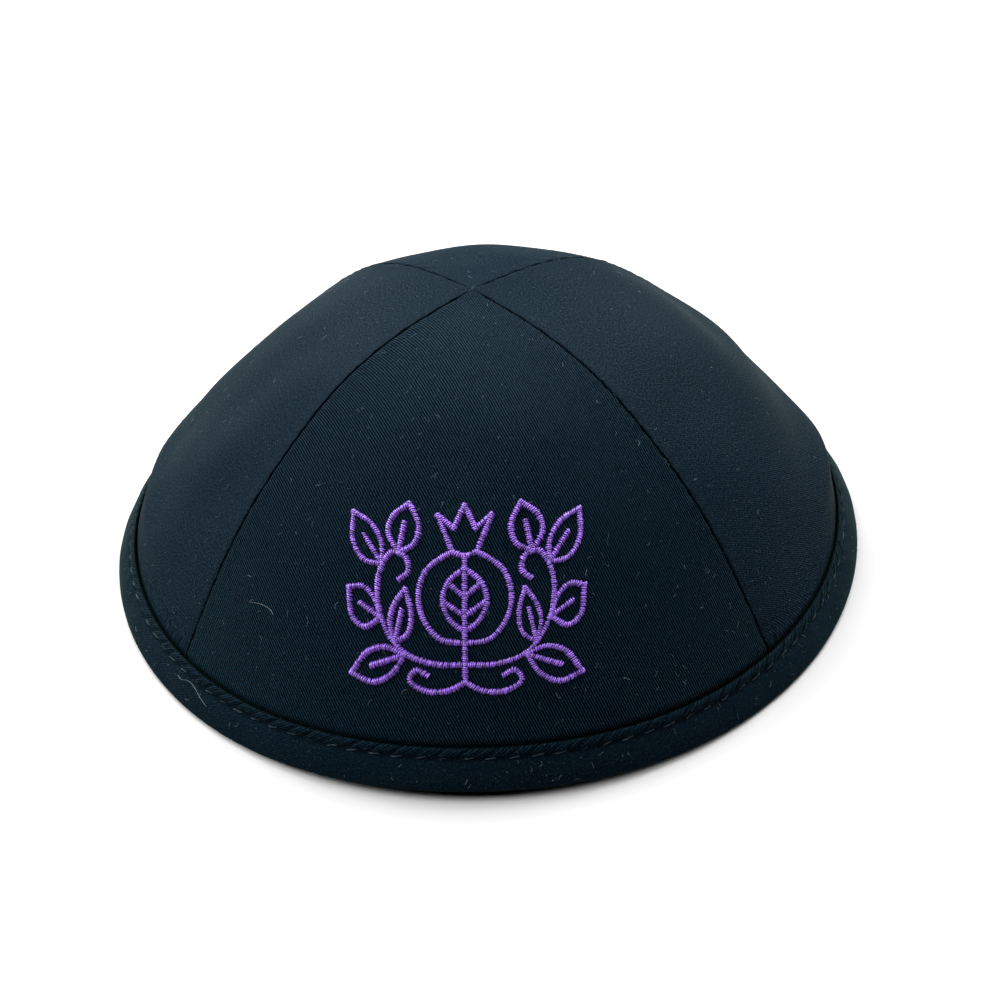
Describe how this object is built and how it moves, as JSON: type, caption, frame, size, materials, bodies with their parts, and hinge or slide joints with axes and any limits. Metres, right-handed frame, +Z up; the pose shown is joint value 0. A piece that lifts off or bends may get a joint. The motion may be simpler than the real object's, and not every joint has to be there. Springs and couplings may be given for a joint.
{
  "type": "kippah skullcap",
  "caption": "Low domed cloth skullcap of sewn twill panels with a stitched rim band and a satin-stitched fruit and leaf ornament on the front, lying open side down.",
  "frame": {"origin": "on the surface the cap lies on, under the middle of the rim", "axes": "+Z up through the top of the crown, -Y towards the embroidered front, +X towards the cap's right as seen from the front"},
  "size_m": [0.17, 0.1726, 0.06],
  "materials": {
    "panel_twill": "matte black twill",
    "band_twill": "matte black twill with topstitching",
    "purple_thread": "satin embroidery thread"
  },
  "bodies": {
    "root": {"panel_front": "panel_twill", "panel_right": "panel_twill", "panel_back": "panel_twill", "panel_left": "panel_twill", "rim_band": "band_twill", "stitched_ornament": "purple_thread"}
  },
  "joints": []
}
